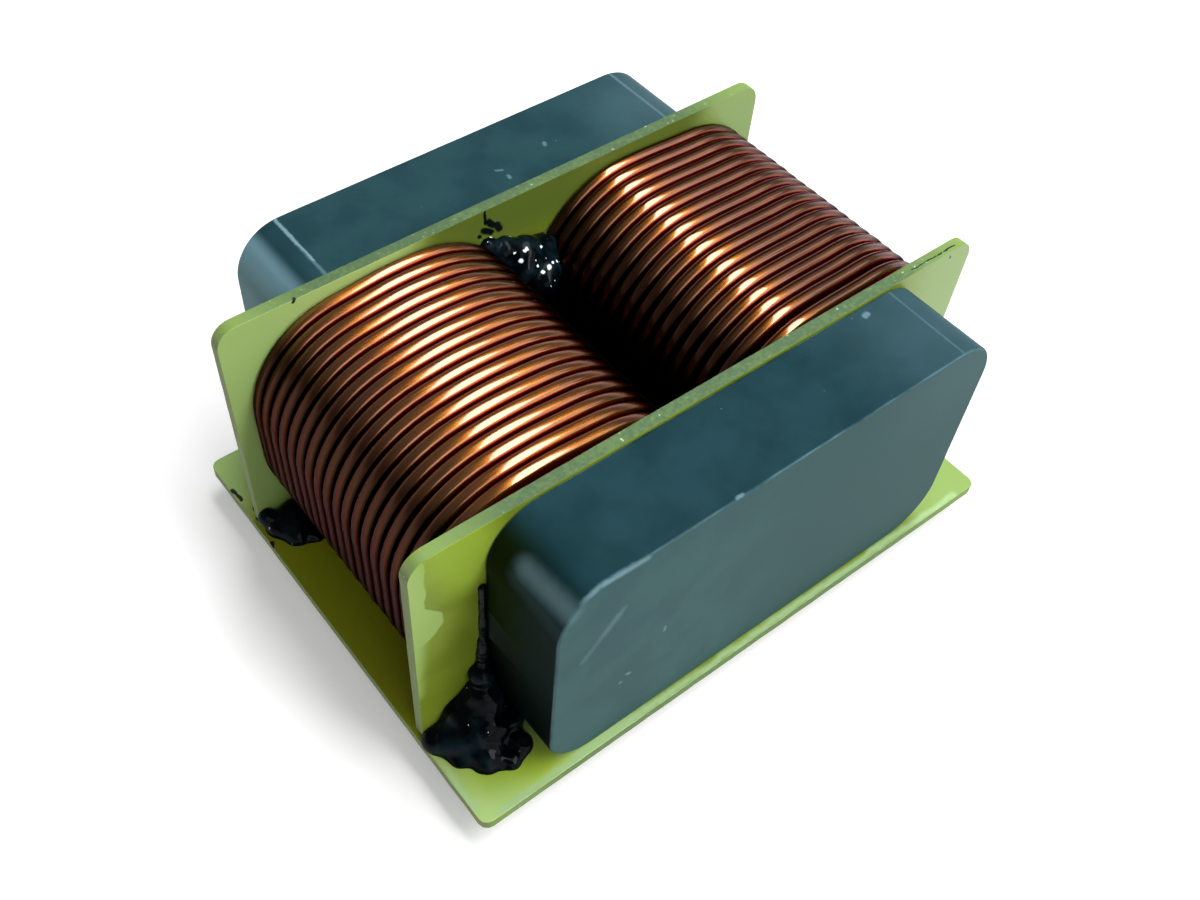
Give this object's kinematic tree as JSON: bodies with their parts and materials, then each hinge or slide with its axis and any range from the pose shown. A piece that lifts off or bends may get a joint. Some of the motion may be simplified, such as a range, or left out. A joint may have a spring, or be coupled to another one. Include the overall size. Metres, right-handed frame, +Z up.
{
  "type": "flat wire inductor",
  "caption": "Power inductor with edge-wound coils of flat enamelled copper wire on a gapped block core, held between glass-epoxy flanges on a base plate with flat leads below.",
  "frame": {"origin": "in the base plate's underside, below the middle of the core", "axes": "+X along the yokes, +Y along the coils towards the rear flange, +Z up from the plate"},
  "size_m": [0.08, 0.0626, 0.0387],
  "materials": {
    "base_board": "satin",
    "front_board": "satin",
    "rear_board": "satin",
    "front_core": "satin",
    "rear_core": "satin",
    "spacer": "matte",
    "sleeve": "matte",
    "left_coil": "glossy",
    "right_coil": "glossy",
    "glue": "glossy"
  },
  "bodies": {
    "root": {"base_plate": "base_board", "front_flange": "front_board", "rear_flange": "rear_board", "front_core": "front_core", "rear_core": "rear_core", "left_gap_spacer": "spacer", "right_gap_spacer": "spacer", "left_sleeve": "sleeve", "right_sleeve": "sleeve", "left_coil": "left_coil", "right_coil": "right_coil", "front_glue": "glue", "rear_glue": "glue", "top_glue": "glue"}
  },
  "joints": []
}
